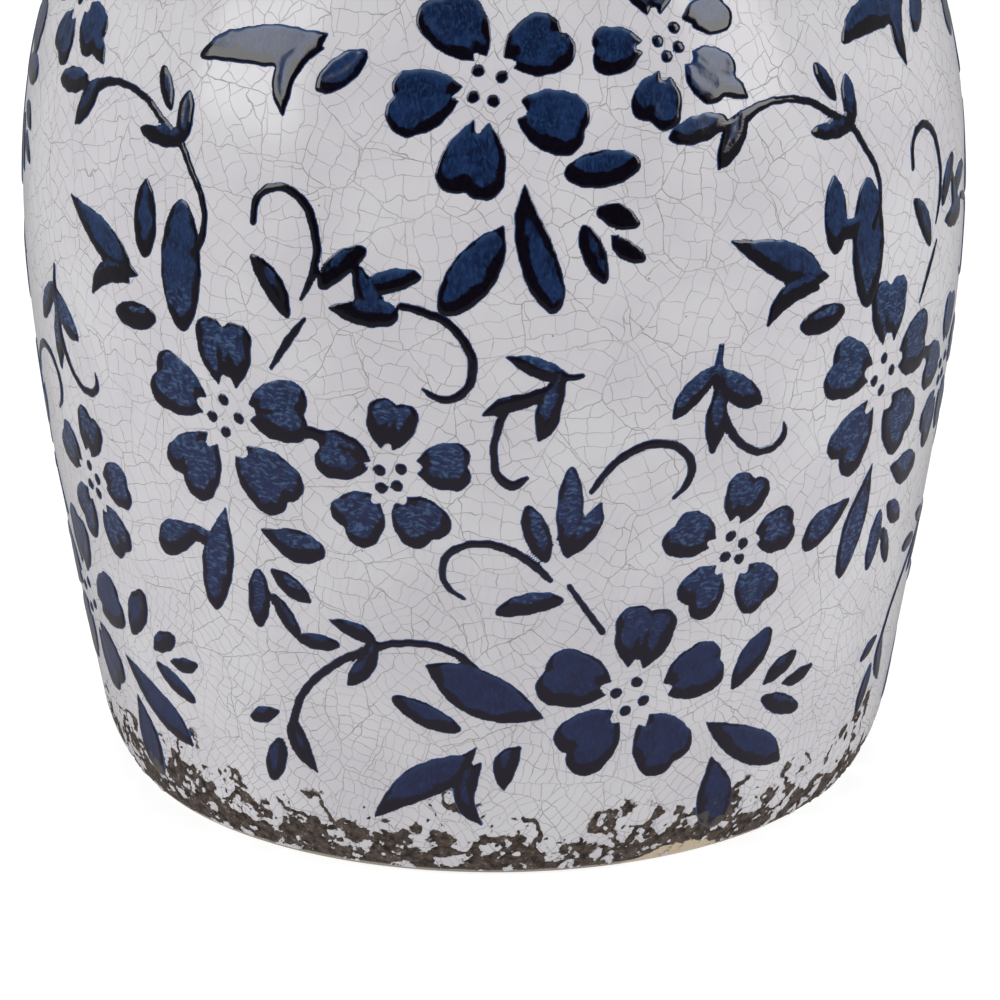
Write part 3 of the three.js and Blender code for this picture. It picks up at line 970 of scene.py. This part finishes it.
def thin_paint(nodes, place, height, depth, wash):
    """Where the paint is thin enough to show its blue, from 0 to 1. Halfway up the vase it is thicker."""
    thickest = nodes.ramp(height, 55.0, 160.0, -0.4, -0.6)
    thicker = nodes.plus(thickest, nodes.ramp(height, 165.0, 190.0, 0.0, 0.6))
    drift = nodes.minus(nodes.noise(place, 5.5, detail=4.0), 0.5)
    dipped = nodes.minus(nodes.noise(place, 24.0, detail=1.0), 0.5)
    level = nodes.plus(nodes.plus(nodes.times(drift, 5.0), nodes.times(dipped, 4.0)), thicker)
    thin = nodes.ramp(nodes.plus(wash, level), 0.8, 1.5)
    return nodes.times(thin, nodes.ramp(nodes.plus(depth, level), -0.5, 0.1))


def paint_texture(nodes, place, height):
    """The fine feathering of the paint, and the crests of its ripples, which are mostly halfway up and get a
    painted highlight.
    """
    wander = nodes.scaled(nodes.noise(place, 6.0, output="Color"), (4.0, 4.0, 4.0))
    swirled = nodes.shift(place, wander)
    feathers = nodes.noise(nodes.scaled(swirled, (1.0, 1.0, 0.4)), 0.7, detail=4.0, roughness=0.6)
    ripple = nodes.noise(nodes.scaled(swirled, (0.7, 0.7, 1.5)), 1.1, detail=2.0)
    midway = nodes.times(nodes.ramp(height, 50.0, 85.0), nodes.ramp(height, 130.0, 155.0, 1.0, 0.0))
    rippled_here = nodes.ramp(nodes.plus(nodes.noise(place, 13.0), midway), 0.6, 1.4, 0.0, 0.85)
    return feathers, nodes.times(nodes.ramp(ripple, 0.46, 0.70), rippled_here)


@cache
def enamel_material():
    """Raised cobalt: nearly black where it is thick, and blue where it is thin. Low down it has a painted
    reflection of the pale floor, which makes it greyer.
    """
    nodes = Nodes("cobalt_enamel")
    place = nodes.place()
    height = nodes.axis(place, "Z")
    depth = nodes.attribute("depth")
    wash = nodes.attribute("wash")
    thin = thin_paint(nodes, place, height, depth, wash)
    feathers, crest_highlights = paint_texture(nodes, place, height)
    # Painted reflection of the pale floor: 1 low down, 0 above 160 mm; it greys the paint.
    floor_reflection = nodes.ramp(height, 90.0, 160.0, 1.0, 0.0)

    blue = nodes.mix(nodes.ramp(nodes.noise(place, 4.5), 0.35, 0.65), NAVY, COBALT)
    blue = nodes.mix(nodes.ramp(feathers, 0.42, 0.75), blue, COBALT_FEATHER)
    # Painted highlight: paler blue near the edges where the thin blue lies, on the upper, lit side of each
    # stroke.
    edge_highlight = nodes.times(nodes.ramp(depth, 0.2, 1.8, 0.7, 0.0), nodes.ramp(wash, 1.3, 2.4))
    blue = nodes.mix(edge_highlight, blue, COBALT_EDGE_HIGHLIGHT)
    blue = nodes.mix(nodes.times(floor_reflection, 0.55), blue, COBALT_FLOOR_REFLECTION)
    # Painted highlight on the crests of the ripples, which are also bumped below.
    blue = nodes.mix(crest_highlights, blue, COBALT_CREST_HIGHLIGHT)
    dark = nodes.mix(nodes.ramp(feathers, 0.35, 0.75), INK, INK_FEATHER)
    dark = nodes.mix(floor_reflection, dark, INK_FLOOR_REFLECTION)
    colour = nodes.mix(thin, dark, blue)
    colour = nodes.mix(nodes.ramp(depth, 0.04, 0.44, 0.8, 0.0), colour, COBALT_FRINGE)
    uneven_height = nodes.plus(height, nodes.times(nodes.noise(place, 3.0, detail=5.0), 26.0))
    colour = nodes.mix(nodes.ramp(uneven_height, 22.0, 26.0, 0.65, 0.0), colour, PAINT_WORN)

    pitted = nodes.bump(nodes.noise(place, 0.7, detail=3.0, roughness=0.6), 0.016)
    waved = nodes.bump(nodes.noise(place, 5.0, detail=1.0), 0.12, pitted)
    rippled = nodes.bump(nodes.times(crest_highlights, thin), 0.05, waved)
    roughness = nodes.ramp(thin, 0.0, 1.0, 0.08, 0.16)
    nodes.shade(Base_Color=colour, Normal=rippled, Roughness=roughness, IOR=1.43)
    return nodes.material


# ---- the pieces


def build_glaze():
    """The outer glaze in four bands, of which the lowest is the finest for its flakes."""
    start, base_end, body_end, belly_end = (at_height(z) for z in (GLAZE_EDGE, 31.0, 118.0, 205.0))
    wall, top = glaze_material(unrolled), glaze_material(flattened)
    glaze_band("glaze_base", start, base_end, 0.45, 1320, wall, flaked=True, replaced=["outer_glaze"])
    glaze_band("glaze_body", base_end, body_end, 1.5, 660, wall)
    glaze_band("glaze_belly", body_end, belly_end, 1.5, 660, wall)
    glaze_band("glaze_shoulder_and_lip", belly_end, outside.end, 1.0, 440, top)


def build_lining():
    """A closed cup: the floor, the inside of the wall and the throat, up to the lip's inner edge."""
    up_the_wall = np.linspace(at_height(SLAB_TOP + 1.0), at_height(250.0), 90)
    s = np.concatenate([up_the_wall, np.linspace(at_height(252.0), THROAT_START, 20)])
    wall = np.stack(outside.at(s, -WALL - LINING_LIFT), 1)
    behind_wall = np.stack(outside.at(s, -WALL), 1)
    rising = unit(wall[-1] - wall[-2])
    edge = outside.points[-1] - [0.1, 0.0]
    throat = bezier(wall[-1], 4 * rising, edge, np.array([0.0, 4.0]), 14)[1:]
    behind_throat = throat[::-1] + [0.4, 0.0]

    floor = SLAB_TOP + CLAY_DEPTH
    rings = np.linspace(6, 80, 10)
    floor_rings = np.stack([rings, floor + 0 * rings], 1)
    corner_start = np.array([SLAB_RADIUS, floor])
    corner = bezier(corner_start, np.array([4.0, 0.0]), wall[0], np.array([0.6, 3.0]), 8)
    inside = np.concatenate([floor_rings, corner, wall[1:], throat])
    hidden = np.concatenate([behind_throat, behind_wall[::-1], floor_rings[::-1] - [0.0, 0.5]])
    profile = [(0.0, floor - 0.5), *hidden[::-1].tolist(), *inside[::-1].tolist(), (0.0, floor)]
    turned_disc("lining", profile, 256, lining_material(), ["inner_glaze"])


def wheel_rings(radius, pitch, depth):
    """The shallow rings that turning leaves on a flat face."""
    return depth * np.sin(2 * math.pi * radius / pitch)


def build_foot():
    """The bare foot ring, turned and slightly rounded at its standing edge, and the slab set inside it."""
    s = np.linspace(at_height(0.9), at_height(12.0), 14)
    wall = np.stack(outside.at(s, -0.75), 1)
    sole_radius = np.linspace(wall[0, 0] - 1.0, FOOT_INNER_RADIUS + 1.0, 60)
    sole = np.stack([sole_radius, 0.12 + wheel_rings(sole_radius, 2.1, 0.1)], 1)[::-1]
    inner = np.array([[84.3, 12.6], [84.3, 4.0], [74.5, 4.0], [75.6, 1.4], [76.6, 0.5]])
    top = np.array([[90.5, 12.6]])
    profile = np.concatenate([sole, wall, top, inner])
    turned_ring("foot_ring_turned", profile, 256, clay_material(), ["foot_ring"])

    under_radius = np.linspace(1.0, 83.5, 120)
    under = np.stack([under_radius, SLAB_BOTTOM + 0.2 + wheel_rings(under_radius, 4.2, 0.18)], 1)
    rim = [(SLAB_RADIUS, 5.0), (SLAB_RADIUS, SLAB_TOP - 0.1)]
    profile = [(0.0, SLAB_BOTTOM), *under.tolist(), *rim, (60.0, SLAB_TOP), (0.0, SLAB_TOP)]
    turned_disc("base_slab_thrown", profile, 256, clay_material(), ["base_slab"])


def dress_hidden_walls():
    """The clay sections under the glaze keep their CAD shapes and get the clay's look."""
    for name in ("lower_wall", "belly_wall", "shoulder_wall", "neck", "rolled_lip"):
        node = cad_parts[name]
        node.data.materials.clear()
        node.data.materials.append(clay_material())


# ---- floor, lights and camera


def build_floor():
    """A plain white floor that the gloss doesn't mirror, as if it ended close to the vase."""
    bpy.ops.mesh.primitive_plane_add(size=12)
    floor = bpy.context.object
    floor.name = "floor"
    nodes = Nodes("floor_white")
    glow = nodes.ramp(nodes.noise(nodes.place(), 400.0), 0.0, 1.0, 0.80, 0.84)
    nodes.shade(Base_Color=(0.3, 0.3, 0.3, 1), Roughness=0.9)
    nodes.shade(Emission_Color=(1, 1, 1, 1), Emission_Strength=glow)
    floor.data.materials.append(nodes.material)
    floor.visible_glossy = False


def build_dark_wall():
    """A dark wall in front of the vase that only the gloss mirrors, so that the painting looks deep."""
    upright = (math.radians(90), 0, 0)
    bpy.ops.mesh.primitive_plane_add(size=6, location=(0, -3.0, 2.0), rotation=upright)
    wall = bpy.context.object
    wall.name = "dark_wall"
    nodes = Nodes("dark_wall_black")
    nodes.shade(Base_Color=(0.02, 0.02, 0.02, 1), Roughness=1.0)
    wall.data.materials.append(nodes.material)
    wall.visible_camera = False
    wall.visible_diffuse = False
    wall.visible_shadow = False


def add_softbox(name, azimuth, elevation, distance, width, height, power, mirrored=True):
    """
    A rectangular light that faces the vase's belly, by its direction from there in degrees: azimuth 0 is in
    front and grows to the right. The gloss mirrors it or doesn't.
    """
    target = Vector((0, 0, 0.15))
    a, e = math.radians(azimuth), math.radians(elevation)
    direction = Vector((math.sin(a) * math.cos(e), -math.cos(a) * math.cos(e), math.sin(e)))
    light = bpy.data.lights.new(name, "AREA")
    light.shape = "RECTANGLE"
    light.size = width
    light.size_y = height
    light.energy = power
    lamp = bpy.data.objects.new(name, light)
    lamp.location = target + direction * distance
    lamp.rotation_euler = direction.to_track_quat("Z", "Y").to_euler()
    lamp.visible_camera = False
    lamp.visible_glossy = mirrored
    bpy.context.scene.collection.objects.link(lamp)


def light_scene():
    add_softbox("softbox_left", -62, 27, 1.5, 0.7, 1.0, 11)
    add_softbox("softbox_right", 64, 27, 1.5, 0.6, 1.0, 11)
    add_softbox("softbox_top", 0, 62, 1.8, 1.6, 1.2, 5)
    add_softbox("card_left", -125, -8, 1.5, 1.0, 1.2, 9, mirrored=False)
    add_softbox("card_right", 125, -8, 1.5, 1.0, 1.2, 8, mirrored=False)
    add_softbox("softbox_back", 180, 40, 2.0, 1.6, 1.0, 10)
    world = bpy.data.worlds.new("studio")
    world.use_nodes = True
    background = world.node_tree.nodes["Background"]
    background.inputs["Color"].default_value = (1, 1, 1, 1)
    background.inputs["Strength"].default_value = 0.25
    bpy.context.scene.world = world
    bpy.context.scene.view_settings.view_transform = "Standard"


def add_camera():
    """The photograph's view: from a little above, with the top of the vase out of the picture."""
    camera = bpy.data.cameras.new("camera")
    camera.lens = 171.9
    camera.sensor_width = 36
    camera.shift_x = 0.0063
    holder = bpy.data.objects.new("camera", camera)
    holder.location = (0, -1.131, 0.4623)
    aim = Vector((0, 0, 0.0613)) - holder.location
    holder.rotation_euler = aim.to_track_quat("-Z", "Y").to_euler()
    bpy.context.scene.collection.objects.link(holder)
    bpy.context.scene.camera = holder


build_glaze()
build_lining()
build_foot()
dress_hidden_walls()
paint_vase()
build_floor()
build_dark_wall()
light_scene()
add_camera()
